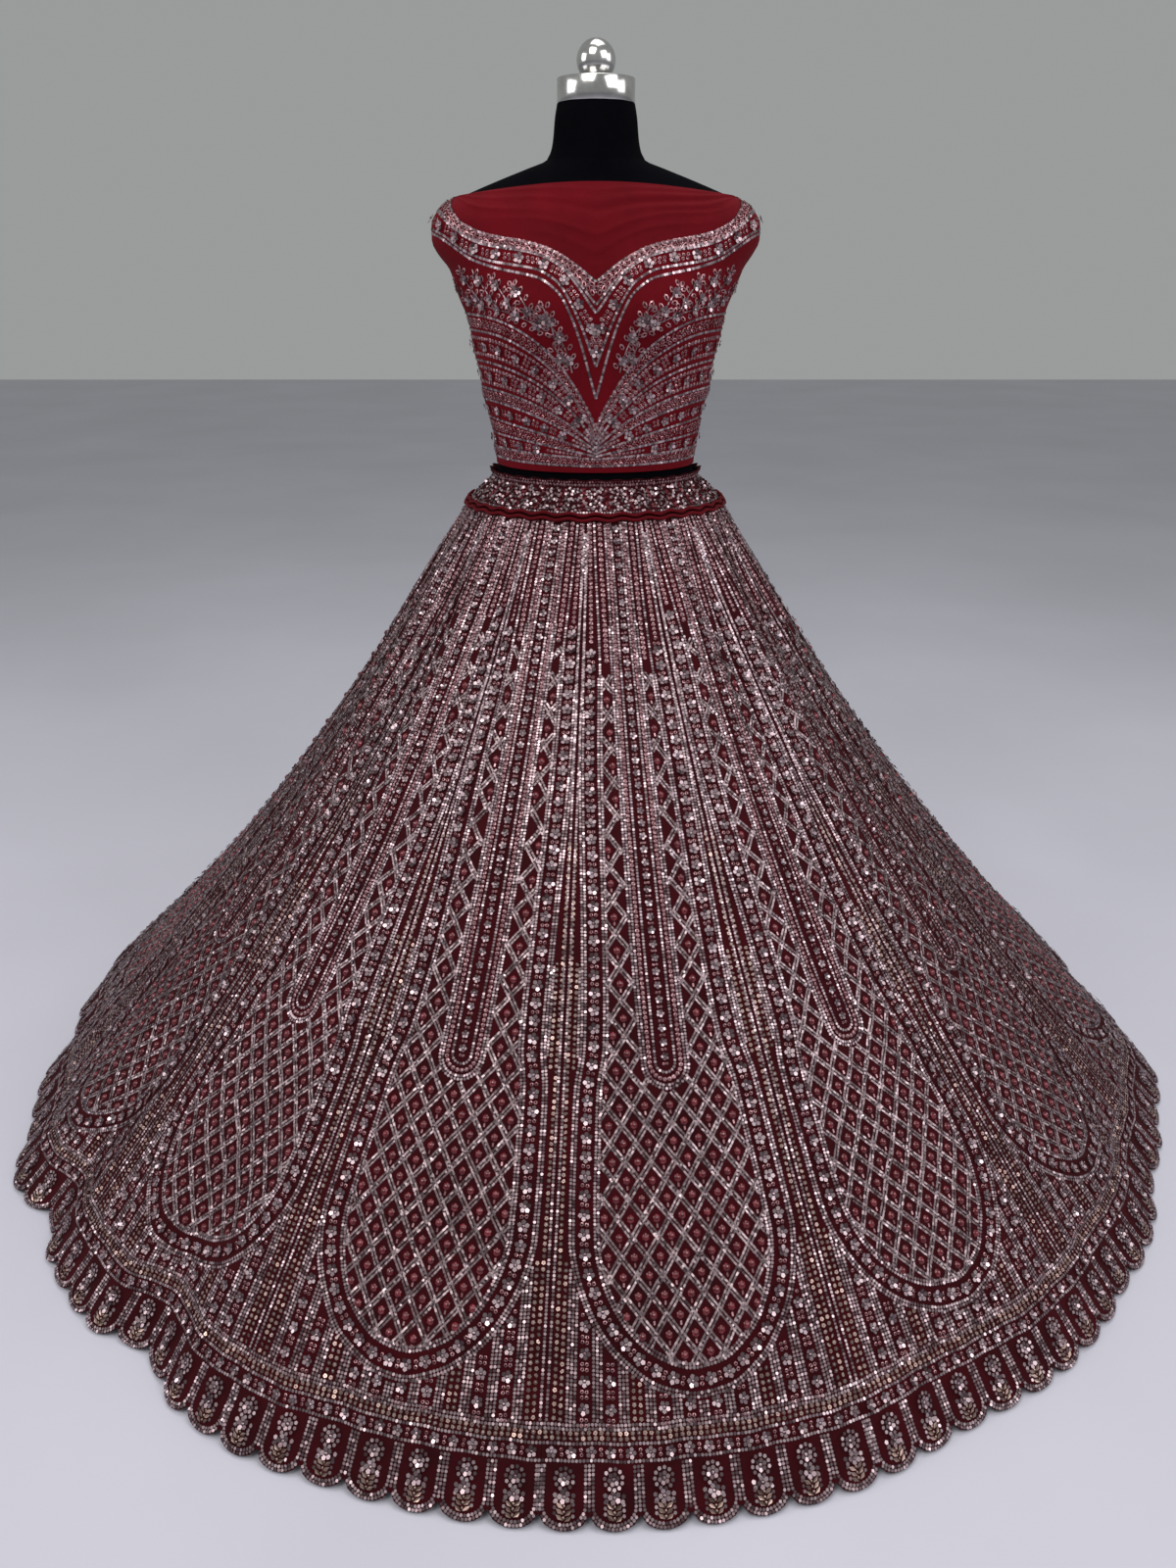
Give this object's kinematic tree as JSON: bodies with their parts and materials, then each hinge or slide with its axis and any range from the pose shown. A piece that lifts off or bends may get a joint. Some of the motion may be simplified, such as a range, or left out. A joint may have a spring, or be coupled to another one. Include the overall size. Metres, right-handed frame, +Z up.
{
  "type": "lehenga choli on dress form",
  "caption": "Floor-length flared lehenga skirt and wrapped choli with sequin embroidery, worn by a limbless dress form on a pole and round base, for display.",
  "frame": {"origin": "centre of the stand's foot, on the surface it stands on", "axes": "+Z up along the pole, the garment's front faces -Y, its right-hand side as seen from the front is +X"},
  "size_m": [1.7867, 1.7926, 1.44],
  "materials": {
    "embroidered_maroon": "deep maroon cloth under dense silver and bronze sequins",
    "plain_maroon": "plain matte maroon cloth",
    "maroon_piping": "plain maroon corded piping",
    "black_form_cloth": "matte black stretch cover",
    "chrome": "polished",
    "stand_metal": "satin black paint"
  },
  "bodies": {
    "root": {"kali_01": "embroidered_maroon", "kali_02": "embroidered_maroon", "kali_03": "embroidered_maroon", "kali_04": "embroidered_maroon", "kali_05": "embroidered_maroon", "kali_06": "embroidered_maroon", "kali_07": "embroidered_maroon", "kali_08": "embroidered_maroon", "kali_09": "embroidered_maroon", "kali_10": "embroidered_maroon", "kali_11": "embroidered_maroon", "kali_12": "embroidered_maroon", "kali_13": "embroidered_maroon", "kali_14": "embroidered_maroon", "kali_15": "embroidered_maroon", "waistband_front": "embroidered_maroon", "waistband_back": "embroidered_maroon", "waist_piping_upper": "maroon_piping", "waist_piping_lower": "maroon_piping", "choli_front": "embroidered_maroon", "choli_yoke": "plain_maroon", "choli_back_left": "plain_maroon", "choli_back_right": "plain_maroon", "choli_back_placket": "plain_maroon", "form_torso": "black_form_cloth", "neck_collar": "chrome", "neck_finial": "chrome", "stand_pole": "stand_metal", "stand_base": "stand_metal"}
  },
  "joints": []
}
